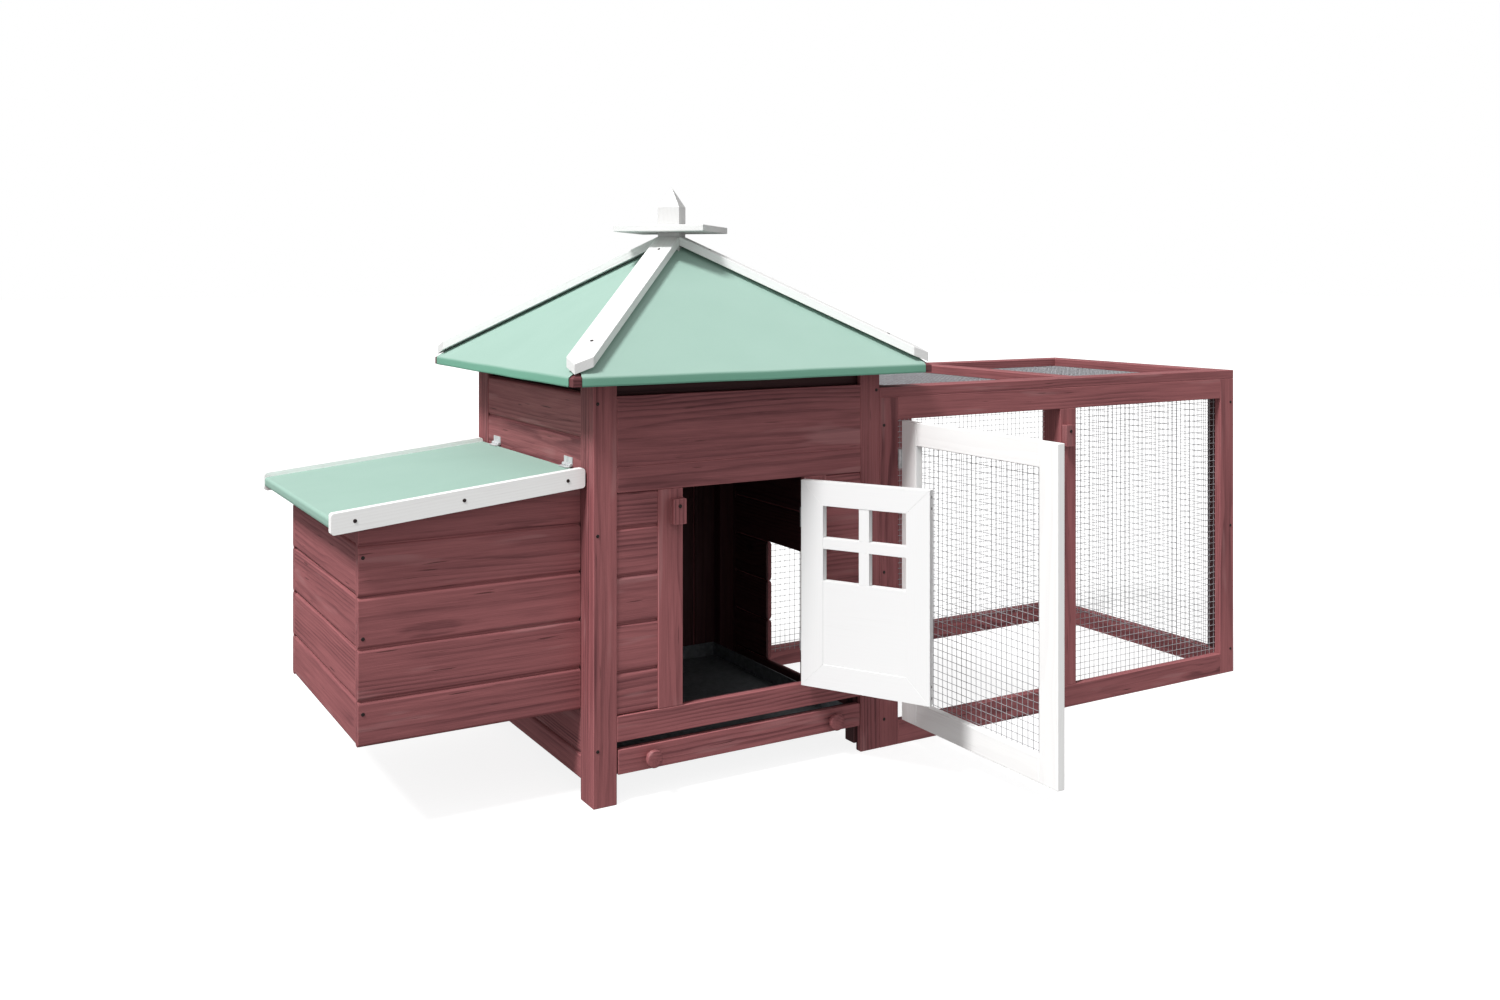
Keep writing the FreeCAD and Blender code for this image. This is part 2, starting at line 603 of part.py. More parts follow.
def house_door():
    """A mitred frame with four panes' openings above a flush panel, standing open."""
    x0, x1 = DOORWAY_LEFT + DOOR_GAP, DOORWAY_RIGHT - HINGE_GAP
    z0, z1 = SILL + DOOR_GAP, DOOR_HEAD - DOOR_GAP
    inner = (x0 + MEMBER, x1 - MEMBER)
    window_top = z1 - MEMBER
    window_foot = window_top - 2 * PANE_HEIGHT - MUNTIN
    middle, level = (inner[0] + inner[1]) / 2, window_top - PANE_HEIGHT - MUNTIN / 2
    front = (BOARD - MUNTIN_THICK) / 2
    back = front + MUNTIN_THICK
    frame = mitred_frame(x0, x1, z0, z1, BOARD, MEMBER)
    panel = block(inner[0], (BOARD - DOOR_PANEL) / 2, z0 + MEMBER, inner[1],
                  (BOARD + DOOR_PANEL) / 2, window_foot)
    bar = block(inner[0], front, level - MUNTIN / 2, inner[1], back, level + MUNTIN / 2)
    upper = block(middle - MUNTIN / 2, front, level + MUNTIN / 2, middle + MUNTIN / 2, back,
                  window_top)
    lower = block(middle - MUNTIN / 2, front, window_foot, middle + MUNTIN / 2, back,
                  level - MUNTIN / 2)
    axis = house_axis()
    spots = [V(x0, BOARD / 2, z) for inset in EDGE_SCREWS for z in (z0 + inset, z1 - inset)]
    heads = screw_heads(spots, V(-1, 0, 0))

    def opened(shapes):
        return [turned(s, axis, V(0, 0, 1), DOOR_OPEN) for s in shapes]

    keep("house_door", "house_door_frame", *opened([frame[1], frame[3]]))
    keep("house_door", "house_door_frame", *opened([frame[0], frame[2]]))
    keep("house_door", "house_door_panel", *opened([panel]))
    keep("house_door", "house_door_glazing_bars", *opened([bar, upper, lower]))
    keep("house_door", "house_door_screws", *opened(heads))
    levels = (z0 + HINGE_INSET, z1 - HINGE_INSET)
    door_hinges("house_door", "house_door", axis, levels, 1, DOOR_OPEN)


def run_door():
    """A frame with a mesh panel on its inner face, standing open."""
    x0, x1 = RUN_DOOR_LEFT + HINGE_GAP, RUN_DOOR_RIGHT - DOOR_GAP
    z0, z1 = RUN_RAIL + DOOR_GAP, RUN_DOOR_HEAD - DOOR_GAP
    stiles = [block(x, 0, z0, x + MEMBER, RUN_BOARD, z1) for x in (x0, x1 - MEMBER)]
    rails = [block(x0 + MEMBER, 0, z, x1 - MEMBER, RUN_BOARD, z + MEMBER)
             for z in (z0, z1 - MEMBER)]
    lap = MEMBER - MESH_LAP
    mesh = block(x0 + lap, RUN_BOARD, z0 + lap, x1 - lap, RUN_BOARD + MESH, z1 - lap)
    axis = run_axis()

    def opened(shapes):
        return [turned(s, axis, V(0, 0, 1), -RUN_DOOR_OPEN) for s in shapes]

    keep("run_door", "run_door_frame", *opened(stiles))
    keep("run_door", "run_door_frame", *opened(rails))
    keep("run_door", "run_door_mesh", *opened([mesh]))
    levels = (z0 + HINGE_INSET, z1 - HINGE_INSET)
    door_hinges("run_door", "run_door", axis, levels, -1, -RUN_DOOR_OPEN)


def turn_button(prefix, x, z):
    """A wooden button that hangs from its screw and turns across the door's edge."""
    width, thick, length = BUTTON
    button = block(x - width / 2, -SEAT - thick, z + BUTTON_PIVOT - length,
                   x + width / 2, -SEAT, z + BUTTON_PIVOT)
    corners = [e for e in button.Edges if abs(e.Length - thick) < 0.01]
    button = button.makeFillet(BUTTON_ROUND, corners)
    button = button.cut(rod(BUTTON_SCREW + BUTTON_FIT, V(x, 1, z), V(0, -1, 0), thick + 2))
    face = -2 * SEAT - thick
    shank = rod(BUTTON_SCREW, V(x, 0, z), V(0, -1, 0), -face)
    head = screw_heads([V(x, face, z)], V(0, -1, 0))[0]
    keep(prefix + "_button", prefix + "_turn_button", button)
    keep("coop", "button_screws", shank.fuse(head).removeSplitter())


def button_places():
    """Pivot of each turn button: x, z."""
    return {"house": (DOORWAY_LEFT - BUTTON[0] / 2, DOOR_HEAD - BUTTON_DROP),
            "run": (RUN_DOOR_RIGHT + BUTTON[0] / 2 + BUTTON_SIDE, RUN_DOOR_HEAD - RUN_BUTTON_DROP)}


# ---- tray -----------------------------------------------------------------------------------
def tray():
    """A sheet-metal pan behind a wooden front, on runners under its sides."""
    x0, x1 = MEMBER + TRAY_SIDE_GAP, HOUSE_WIDTH - MEMBER - TRAY_SIDE_GAP
    keep("tray", "tray_front", block(x0, 0, TRAY_FOOT, x1, BOARD, TRAY_FOOT + TRAY_FRONT))
    post_x, post_y = CORNER_POST
    side = BOARD + post_x + TRAY_SIDE_GAP
    far = HOUSE_DEPTH - BOARD - TRAY_SIDE_GAP
    foot = TRAY_FOOT + SEAT
    left, right = side, HOUSE_WIDTH - side
    outer = block(left, BOARD, foot, right, far, foot + TRAY_RIM)
    inner = block(left + TRAY_PAN, BOARD + TRAY_PAN, foot + TRAY_PAN, right - TRAY_PAN,
                  far - TRAY_PAN, foot + TRAY_RIM + 1)
    keep("tray", "tray_pan", outer.cut(inner))
    radius, neck, reach = KNOB
    profile = [V(0, 0, 0), V(neck, 0, 0), V(neck, 0, reach * 0.45), V(radius, 0, reach * 0.6)]
    rim = [V(radius, 0, reach * 0.82), V(radius * 0.97, 0, reach * 0.93), V(radius * 0.8, 0, reach)]
    edges = [Part.LineSegment(a, b).toShape() for a, b in zip(profile, profile[1:])]
    edges.append(Part.LineSegment(profile[-1], rim[0]).toShape())
    edges.append(Part.Arc(rim[0], rim[1], rim[2]).toShape())
    edges.append(Part.LineSegment(rim[2], V(0, 0, reach)).toShape())
    edges.append(Part.LineSegment(V(0, 0, reach), profile[0]).toShape())
    knob = Part.Face(Part.Wire(edges)).revolve(V(0, 0, 0), V(0, 0, 1), 360)
    knob = turned(knob, V(0, 0, 0), V(1, 0, 0), 90)
    level = TRAY_FOOT + TRAY_FRONT / 2
    keep("tray", "tray_knobs", *[knob.translated(V(CENTRE.x + s * KNOB_SPREAD / 2, 0, level))
                                 for s in (-1, 1)])
    width, height = RUNNER
    y0, y1 = BOARD + post_y, HOUSE_DEPTH - BOARD - post_y
    keep("coop", "tray_runners",
         block(BOARD, y0, TRAY_FOOT - height, BOARD + width, y1, TRAY_FOOT),
         block(HOUSE_WIDTH - BOARD - width, y0, TRAY_FOOT - height, HOUSE_WIDTH - BOARD, y1,
               TRAY_FOOT))


# ---- run ------------------------------------------------------------------------------------
def run_front():
    """Three posts, two rails and a mesh bay to the right of the doorway."""
    top = FRAME_TOP
    left, mid, right = RUN_LEFT, RUN_DOOR_RIGHT, RUN_RIGHT - MEMBER
    keep("coop", "run_front_posts", block(left, 0, 0, left + MEMBER, RUN_BOARD, top))
    keep("coop", "run_front_posts", block(right, 0, 0, RUN_RIGHT, RUN_BOARD, top))
    keep("coop", "run_front_posts",
         block(mid, 0, RUN_RAIL, mid + MEMBER, RUN_BOARD, RUN_DOOR_HEAD))
    keep("coop", "run_middle_backing_post",
         block(mid, RUN_BOARD, 0, mid + MEMBER, RUN_BOARD + BACKING_POST, top))
    keep("coop", "run_front_rails",
         block(left + MEMBER, 0, RUN_DOOR_HEAD, right, RUN_BOARD, top))
    keep("coop", "run_front_rails", block(left + MEMBER, 0, 0, right, RUN_BOARD, RUN_RAIL))
    keep("coop", "run_front_mesh",
         block(mid + MEMBER, RUN_BOARD, RUN_RAIL - MESH_LAP, right + MESH_LAP,
               RUN_BOARD + MESH, RUN_DOOR_HEAD + MESH_LAP))


def run_back():
    """The back frame: three posts, two rails and one long mesh panel inside them."""
    y0, y1 = HOUSE_DEPTH - RUN_BOARD, HOUSE_DEPTH
    mid = RUN_DOOR_RIGHT
    posts = [block(x, y0, 0, x + MEMBER, y1, FRAME_TOP)
             for x in (RUN_LEFT, mid, RUN_RIGHT - MEMBER)]
    keep("coop", "run_back_frame", *posts)
    rails = []
    for x0, x1 in ((RUN_LEFT + MEMBER, mid), (mid + MEMBER, RUN_RIGHT - MEMBER)):
        rails.append(block(x0, y0, 0, x1, y1, RUN_RAIL))
        rails.append(block(x0, y0, FRAME_TOP - RUN_HEAD, x1, y1, FRAME_TOP))
    keep("coop", "run_back_frame", *rails)
    lap = MEMBER - MESH_LAP
    keep("coop", "run_back_mesh",
         block(RUN_LEFT + lap, y0 - MESH, RUN_RAIL - MESH_LAP, RUN_RIGHT - lap, y0,
               FRAME_TOP - RUN_HEAD + MESH_LAP))


def run_end():
    """The right end frame between the front and back frames."""
    x0, x1 = RUN_RIGHT - RUN_BOARD, RUN_RIGHT
    y0, y1 = RUN_BOARD, HOUSE_DEPTH - RUN_BOARD
    keep("coop", "run_end_frame", block(x0, y0, 0, x1, y0 + MEMBER, FRAME_TOP),
         block(x0, y1 - MEMBER, 0, x1, y1, FRAME_TOP))
    keep("coop", "run_end_frame", block(x0, y0 + MEMBER, 0, x1, y1 - MEMBER, RUN_RAIL),
         block(x0, y0 + MEMBER, FRAME_TOP - RUN_HEAD, x1, y1 - MEMBER, FRAME_TOP))
    lap = MEMBER - MESH_LAP
    keep("coop", "run_end_mesh",
         block(x0 - MESH, y0 + lap, RUN_RAIL - MESH_LAP, x0, y1 - lap,
               FRAME_TOP - RUN_HEAD + MESH_LAP))


def run_roof():
    """A flat frame of two long boards and three bars, with mesh on its underside."""
    z0, z1 = FRAME_TOP, RUN_HEIGHT
    x0, x1 = RUN_LEFT, RUN_RIGHT
    y0, y1 = 0.0, HOUSE_DEPTH
    keep("coop", "run_roof_frame", block(x0, y0, z0, x1, y0 + MEMBER, z1),
         block(x0, y1 - MEMBER, z0, x1, y1, z1))
    bars = [block(x, y0 + MEMBER, z0, x + MEMBER, y1 - MEMBER, z1)
            for x in (x0, BAR_RIGHT - MEMBER, x1 - MEMBER)]
    keep("coop", "run_roof_frame", *bars)
    inset = RUN_BOARD + SEAT
    sheet = block(x0 + MESH_LAP, y0 + inset, z0 - MESH, x1 - inset, y1 - inset, z0)
    taken = block(RUN_DOOR_RIGHT - SEAT, y0, 0, RUN_DOOR_RIGHT + MEMBER + SEAT,
                  RUN_BOARD + BACKING_POST + SEAT, z1)
    keep("coop", "run_roof_mesh", sheet.cut(taken))


def frame_screws():
    """Screw heads on the front of the house and of the run."""
    edge = BOARD / 2
    legs = [V(edge, 0, z) for z in LEG_SCREWS]
    legs.append(V(HOUSE_WIDTH - edge, 0, LEG_SCREWS[-1]))
    keep("coop", "coop_screws", *screw_heads(legs, V(0, -1, 0)))
    margin = FRAME_TOP * POST_SCREW_MARGIN
    levels = (margin, FRAME_TOP / 2, FRAME_TOP - margin)
    columns = (RUN_LEFT + POST_SCREW_INSET, RUN_RIGHT - POST_SCREW_INSET)
    posts = [V(x, 0, z) for x in columns for z in levels]
    keep("coop", "coop_screws", *screw_heads(posts, V(0, -1, 0)))


def build():
    front_wall()
    side_walls()
    back_wall()
    wall_plates()
    roof()
    roof_trim()
    nest_box()
    nest_lid()
    lid_hinges()
    house_door()
    run_door()
    for name, (x, z) in button_places().items():
        turn_button(name, x, z)
    tray()
    run_front()
    run_back()
    run_end()
    run_roof()
    frame_screws()


def offset_to_centre():
    """From the building origin to the bottom centre of everything built."""
    box = Part.makeCompound([s for solids in nodes.values() for s in solids]).BoundBox
    return V(-box.Center.x, -box.Center.y, -box.ZMin)


def write(shift):
    os.makedirs("parts", exist_ok=True)
    for name, solids in nodes.items():
        moved = [s.translated(shift) for s in solids]
        shape = moved[0] if len(moved) == 1 else Part.makeCompound(moved)
        shape.exportStep("parts/%s.step" % name)


build()
shift = offset_to_centre()
write(shift)
print("nodes", len(nodes), "solids", sum(len(s) for s in nodes.values()))
print("origin is %.3f, %.3f from the house's front left corner" % (-shift.x, -shift.y))
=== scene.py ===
"""Looks of the chicken coop: stained and painted boards, felt, welded wire and zinc.

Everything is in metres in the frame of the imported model: +Z up, +Y towards the back and +X from
the nest box to the run. The sections follow the coop in the order in which it is put together.
"""
import math
import random

import bmesh
import bpy
from mathutils import Matrix, Vector


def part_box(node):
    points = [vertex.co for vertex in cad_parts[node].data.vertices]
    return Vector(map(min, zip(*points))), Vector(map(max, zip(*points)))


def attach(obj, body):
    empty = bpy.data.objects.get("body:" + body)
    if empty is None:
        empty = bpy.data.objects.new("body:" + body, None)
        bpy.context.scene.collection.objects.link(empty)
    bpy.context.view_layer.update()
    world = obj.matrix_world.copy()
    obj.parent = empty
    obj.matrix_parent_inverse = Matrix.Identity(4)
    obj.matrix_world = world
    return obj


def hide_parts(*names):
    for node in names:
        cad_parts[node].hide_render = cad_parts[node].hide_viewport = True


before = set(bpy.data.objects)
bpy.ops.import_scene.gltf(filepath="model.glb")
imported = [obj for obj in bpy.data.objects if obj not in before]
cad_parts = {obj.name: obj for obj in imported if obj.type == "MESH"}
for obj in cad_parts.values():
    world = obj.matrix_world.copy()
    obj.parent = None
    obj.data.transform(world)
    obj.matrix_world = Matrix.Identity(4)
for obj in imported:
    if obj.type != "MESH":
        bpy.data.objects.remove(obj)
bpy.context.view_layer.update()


# ---- frame of the house -----------------------------------------------------------------------
# Softwood battens 15 mm thick, sawn, planed and dipped in a reddish brown stain. They are screwed
# together as flat frames: two legs in front, two at the back, stiles, rails and jambs.
class Link:
    """A shader socket. Sums with numbers or with other links add Math nodes to its finish."""

    def __init__(self, finish, socket):
        self.finish, self.socket = finish, socket

    def math(self, operation, *values):
        return self.finish.node("Math", {"operation": operation}, dict(enumerate(values)))

    def __add__(self, other):
        return self.math("ADD", self, other)

    def __sub__(self, other):
        return self.math("SUBTRACT", self, other)

    def __rsub__(self, other):
        return self.math("SUBTRACT", other, self)

    def __mul__(self, other):
        return self.math("MULTIPLY", self, other)

    def __truediv__(self, other):
        return self.math("DIVIDE", self, other)

    def __pow__(self, other):
        return self.math("POWER", self, other)

    __radd__ = __add__
    __rmul__ = __mul__


class Finish:
    """A material on a Principled shader, whose other nodes are added one call at a time."""

    def __init__(self, name, **constants):
        self.material = bpy.data.materials.new(name)
        self.material.use_nodes = True
        self.tree = self.material.node_tree
        self.shader = self.tree.nodes["Principled BSDF"]
        for socket, value in constants.items():
            self.put(self.shader.inputs[socket.replace("_", " ")], value)

    def put(self, socket, value):
        if isinstance(value, Link):
            self.tree.links.new(value.socket, socket)
        else:
            socket.default_value = value

    def node(self, kind, settings, sockets, output=0):
        """Add a node with its settings, or a ramp's stops, and its sockets' values or links."""
        made = self.tree.nodes.new("ShaderNode" + kind)
        for name, value in settings.items():
            if name == "stops":
                ramp = made.color_ramp
                for position, colour in value[2:]:
                    ramp.elements.new(position)
                for stop, (position, colour) in zip(ramp.elements, sorted(value)):
                    stop.position, stop.color = position, colour
            else:
                setattr(made, name, value)
        for name, value in sockets.items():
            self.put(made.inputs[name], value)
        return Link(self, made.outputs[output])

    def mix(self, share, one, other):
        """A colour between two colours."""
        return self.node("Mix", {"data_type": "RGBA"}, {0: share, 6: one, 7: other}, 2)

    def step(self, value, low, high):
        """0 below low, 1 above high, smooth between them."""
        settings = {"interpolation_type": "SMOOTHSTEP"}
        return self.node("MapRange", settings, {"Value": value, "From Min": low, "From Max": high})

    def stretched(self, vector, stretch):
        return self.node("VectorMath", {"operation": "MULTIPLY"}, {0: vector, 1: stretch})

    def noise(self, vector, stretch, detail=2.0, roughness=0.5):
        """Noise with so many bumps in a metre along each way of a board."""
        return self.node("TexNoise", {}, {"Vector": self.stretched(vector, stretch), "Scale": 1.0,
                                          "Detail": detail, "Roughness": roughness})

    def wear(self, **sockets):
        """Links to the shader's own sockets."""
        for name, value in sockets.items():
            self.put(self.shader.inputs[name.replace("_", " ")], value)

    def relief(self, height, depth, strength=1.0):
        bump = self.node("Bump", {}, {"Height": height, "Distance": depth, "Strength": strength})
        self.wear(Normal=bump)


def colour(red, green, blue):
    """Linear colour from the usual 0-255 values."""
    def linear(value):
        value /= 255
        return value / 12.92 if value <= 0.04045 else ((value + 0.055) / 1.055) ** 2.4
    return (linear(red), linear(green), linear(blue), 1.0)


class Board:
    """One solid of a CAD node: its mesh, its own axes (along, across, through) and its extent."""

    def __init__(self, faces, along=None):
        slight_angle = 0.02
        self.faces, self.shape = faces, bmesh.new()
        for face in faces:
            self.shape.faces.new([self.shape.verts.new(corner) for corner in face])
        bmesh.ops.remove_doubles(self.shape, verts=self.shape.verts, dist=1e-6)
        bmesh.ops.dissolve_limit(self.shape, angle_limit=slight_angle, verts=self.shape.verts,
                                 edges=self.shape.edges)
        edges = [e.verts[1].co - e.verts[0].co for e in self.shape.edges]
        edges.sort(key=lambda e: e.length)
        along = (along or edges[-1]).normalized()
        square = [e for e in edges if abs(e.normalized().dot(along)) < slight_angle]
        across = square[-1].normalized() if square else along.orthogonal().normalized()
        along, across = [axis * (1 if sum(axis) > 0 else -1) for axis in (along, across)]
        self.axes = (along, across, along.cross(across))
        spots = [self.local(v.co) for v in self.shape.verts]
        self.low = Vector([min(s[i] for s in spots) for i in range(3)])
        self.high = Vector([max(s[i] for s in spots) for i in range(3)])

    def local(self, point):
        return Vector([axis.dot(point) for axis in self.axes])

    def round_edges(self, arris, ease):
        """Round the edges that run along the board by ease, and all others by arris."""
        nearly_parallel, sharp_angle = 0.98, 0.5
        for amount, chosen in ((ease, True), (arris, False)):
            edges = []
            for e in self.shape.edges:
                way = (e.verts[1].co - e.verts[0].co).normalized()
                is_long = abs(way.dot(self.axes[0])) > nearly_parallel
                if e.calc_face_angle(0) > sharp_angle and is_long == chosen:
                    edges.append(e)
            bmesh.ops.bevel(self.shape, geom=edges, offset=amount, segments=3, profile=0.5,
                            affect="EDGES", clamp_overlap=True)
        self.shape.verts.index_update()


def boards_of(name, along=None):
    """The separate solids of a CAD node. A solid is whole when each of its edges is shared."""
    micrometres = 1e6
    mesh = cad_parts[name].data
    boards, faces, open_edges = [], [], set()
    for polygon in mesh.polygons:
        face = [mesh.vertices[i].co.copy() for i in polygon.vertices]
        keys = [tuple(round(c * micrometres) for c in corner) for corner in face]
        for pair in zip(keys, keys[1:] + keys[:1]):
            open_edges ^= {frozenset(pair)}
        faces.append(face)
        if not open_edges:
            boards.append(Board(faces, along))
            faces = []
    return boards


def shown(name, mesh, finish, body, stands_for=()):
    """A new piece with its finish that rides on a body and stands for CAD nodes."""
    piece = bpy.data.objects.new(name, mesh)
    bpy.context.scene.collection.objects.link(piece)
    mesh.materials.append(finish.material)
    for polygon in mesh.polygons:
        polygon.use_smooth = True
    even = piece.modifiers.new("even_shading", "WEIGHTED_NORMAL")
    even.keep_sharp = True
    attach(piece, body)
    if stands_for:
        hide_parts(*stands_for)
    return piece


def timber(name, boards, finish, body="coop", stands_for=(), arris=0.0012,
           ease=None):
    """Boards as one piece. Each has its own place in a log, so no two show the same grain."""
    chance = random.Random(name)
    log_length, pith_aside, pith_near, pith_far = 40, 0.07, 0.045, 0.11
    spots, polygons, grain, place, half, tone = [], [], [], [], [], []
    for board in boards:
        board.round_edges(arris, ease or arris)
        shape = board.shape
        pith = Vector((chance.uniform(0, log_length), chance.uniform(-pith_aside, pith_aside),
                       chance.choice((-1, 1)) * chance.uniform(pith_near, pith_far)))
        middle, reach = (board.low + board.high) / 2, (board.high - board.low) / 2
        shade, start = chance.random(), len(spots)
        for vertex in shape.verts:
            spot = board.local(vertex.co) - middle
            spots.append(vertex.co.copy())
            grain += list(spot + pith)
            place += list(spot)
            half += list(reach)
            tone.append(shade)
        polygons += [[start + v.index for v in face.verts] for face in shape.faces]
        shape.free()
    mesh = bpy.data.meshes.new(name)
    mesh.from_pydata(spots, [], polygons)
    for title, values in (("grain", grain), ("place", place), ("half", half)):
        mesh.attributes.new(title, "FLOAT_VECTOR", "POINT").data.foreach_set("vector", values)
    mesh.attributes.new("tone", "FLOAT", "POINT").data.foreach_set("value", tone)
    return shown(name, mesh, finish, body, stands_for)


def attribute(finish, title, output=1):
    """What the board maker stored at each point: output 1 is a vector, 2 a number."""
    return finish.node("Attribute", {"attribute_name": title}, {}, output)


def parts(finish, vector):
    """The three numbers of a vector."""
    split = finish.node("SeparateXYZ", {}, {"Vector": vector})
    return [Link(finish, split.socket.node.outputs[i]) for i in range(3)]


def growth_rings(finish):
    """Share of late wood in the rings around the pith, with knots that push them aside."""
    spacing, wander_depth, ripple_depth, push_depth = 0.0046, 0.024, 0.0030, 0.009
    knot_core, knot_rim, knot_reach, knot_rarity = 0.035, 0.07, 0.34, 0.82
    grain = attribute(finish, "grain")
    along, across, through = parts(finish, grain)
    wander = finish.noise(grain, (1.5, 6.0, 6.0), 2.0) - 0.5
    ripple = finish.noise(grain, (7.0, 60.0, 60.0), 3.0) - 0.5
    face = finish.stretched(grain, (3.6, 7.0, 3.0))
    cells = finish.node("TexVoronoi", {}, {"Vector": face, "Scale": 1.0, "Randomness": 0.85})
    pick = parts(finish, Link(finish, cells.socket.node.outputs["Color"]))[0]
    rare = finish.step(pick, knot_rarity, knot_rarity + 0.01)
    knot = (1 - finish.step(cells, knot_core, knot_rim)) * rare
    pushed = (1 - finish.step(cells, 0.0, knot_reach)) * rare
    radius = (across * across + through * through) ** 0.5
    shift = wander * wander_depth
    phase = (radius + shift + ripple * ripple_depth + pushed * push_depth) / spacing
    turn = phase.math("FRACT", phase)
    late = finish.step(turn, 0.25, 0.88) * (1 - finish.step(turn, 0.90, 1.0))
    return grain, late, knot, pushed


def arris_distance(finish):
    """Distance from a point on a board's face to the board's nearest edge."""
    spot = parts(finish, attribute(finish, "place"))
    reach = parts(finish, attribute(finish, "half"))
    a, b, c = [r - s.math("ABSOLUTE", s) for r, s in zip(reach, spot)]
    larger = a.math("MAXIMUM", a, b)
    return a.math("MAXIMUM", a.math("MINIMUM", a, b), a.math("MINIMUM", larger, c))


def inside(finish, low, high):
    """Where painted shade goes: 1 on faces that look into a room and 0 outside it."""
    wall, edge = 0.0112, 0.001
    spot = parts(finish, finish.node("TexCoord", {}, {}, 3))
    share = finish.step(spot[2], low[2], low[2] + edge)
    for i in (0, 1):
        share = finish.step(spot[i], low[i] + wall - edge, low[i] + wall) * share
        share = finish.step(spot[i], high[i] - wall + edge, high[i] - wall) * share
    return share


def stained_wood(name, light, dark, knot_colour, thin_stain, room):
    """Softwood in stain: late wood takes it darker, knots darkest. The arrises are paler, partly
    rubbed stain and partly painted highlight, and faces in a room get painted shade.
    """
    finish = Finish(name, Specular_IOR_Level=0.3)
    grain, late, knot, pushed = growth_rings(finish)
    fibres = finish.noise(grain, (14.0, 900.0, 900.0), 3.0, 0.6)
    streaks = finish.noise(grain, (3.2, 120.0, 120.0), 5.0, 0.7)
    cloud = finish.noise(grain, (2.2, 24.0, 24.0), 3.0)
    tone = attribute(finish, "tone", 2)
    edge = arris_distance(finish)
    strength = finish.step(cloud, 0.36, 0.66) * 0.40 + 0.08
    share = late * strength + (streaks - 0.5) * 1.1 + (fibres - 0.5) * 0.85
    share = share + (tone - 0.5) * 0.26 + (cloud - 0.5) * 0.5 + pushed * 0.12 + 0.29
    share = share.math("MINIMUM", share.math("MAXIMUM", share, 0.0), 1.0)
    # Small splits hold more stain, patches hold less, and both follow the grain.
    split = finish.step(finish.noise(grain, (11.0, 210.0, 210.0), 1.0), 0.72, 0.78)
    patch = finish.step(finish.noise(grain, (5.0, 38.0, 38.0), 2.0), 0.60, 0.70)
    skin = finish.mix(patch * 0.4, finish.mix(share, light, dark), thin_stain)
    skin = finish.mix(split * 0.7, finish.mix(knot * 0.8, skin, knot_colour), knot_colour)
    # Arrises: rubbed stain and painted highlight. Faces into a room: nearly black painted shade.
    edge_tint = (1 - finish.step(edge, 0.0003, 0.0022)) * finish.step(streaks, 0.3, 0.7)
    pale = tuple(min(1.0, c * 1.35 + 0.02) for c in light[:3]) + (1.0,)
    skin = finish.mix(edge_tint * 0.45, skin, pale)
    # Nearly black painted shade for the faces that look into a room.
    shade = tuple(c * 0.05 for c in dark[:3]) + (1.0,)
    skin = finish.mix(inside(finish, *room) * 0.8, skin, shade)
    height = late * strength * -0.6 + fibres * 0.5 + streaks * 0.3 + knot * 0.4 - split * 0.8
    finish.relief(height, 0.0006, 0.8)
    finish.wear(Base_Color=skin, Roughness=0.55 + share * 0.18)
    return finish


stain = (colour(158, 95, 97), colour(97, 53, 57), colour(52, 24, 24), colour(164, 116, 117))
house_room = (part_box("front_legs")[0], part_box("back_legs")[1])
mocha = stained_wood("mocha_stained_wood", *stain, house_room)
for node in ("front_legs", "door_jambs", "front_sill_rail", "front_head_rail",
             "left_wall_stiles", "right_wall_stiles", "corner_posts", "back_legs", "back_rails",
             "wall_plates"):
    timber(node + "_timber", boards_of(node), mocha, stands_for=[node], arris=0.0016)


# ---- wall boards ------------------------------------------------------------------------------
# Tongued and grooved boards in the same stain, pinned between the stiles a little behind their
# face. Their long edges are eased, so each joint shows as a narrow groove with a tongue behind it.
# Under the eave the top boards stop short; the dark slot there stands in for the eave's shadow.
def box_board(axes, low, high):
    """A square board between two corners on its own axes."""
    def corner(code):
        """A corner such as 011, with 1 for the high end of an axis and 0 for its low end."""
        return sum((axis * (high if side == "1" else low)[n]
                    for n, (axis, side) in enumerate(zip(axes, code))), Vector())

    rings = ("000 001 011 010", "100 110 111 101", "000 100 101 001",
             "010 011 111 110", "000 010 110 100", "001 101 111 011")
    return Board([[corner(code) for code in ring.split()] for ring in rings], axes[0])


def tongues(boards):
    """Thin strips that close the joints between neighbouring boards."""
    joint, bite, depth, level_enough, parallel = 0.0025, 0.001, 0.0045, 0.001, 0.99
    strips = []
    for lower in boards:
        for upper in boards:
            if min(lower.axes[i].dot(upper.axes[i]) for i in (0, 1)) < parallel:
                continue
            gap = upper.low[1] - lower.high[1]
            start, end = max(lower.low[0], upper.low[0]), min(lower.high[0], upper.high[0])
            level = abs(upper.low[2] - lower.low[2]) < level_enough
            if 0 < gap < joint and end > start and level:
                low = Vector((start, lower.high[1] - bite, lower.low[2] + depth))
                high = Vector((end, upper.low[1] + bite, lower.high[2] - depth))
                strips.append(box_board(lower.axes, low, high))
    return strips


def shortened_for_eave_shadow(boards, gap):
    """Let the top board end below the eave, where a dark slot stands in for the eave's shadow."""
    top = max(boards, key=lambda board: board.high[1])
    high = Vector((top.high[0], top.high[1] - gap, top.high[2]))
    return [board for board in boards if board is not top] + [box_board(top.axes, top.low, high)]


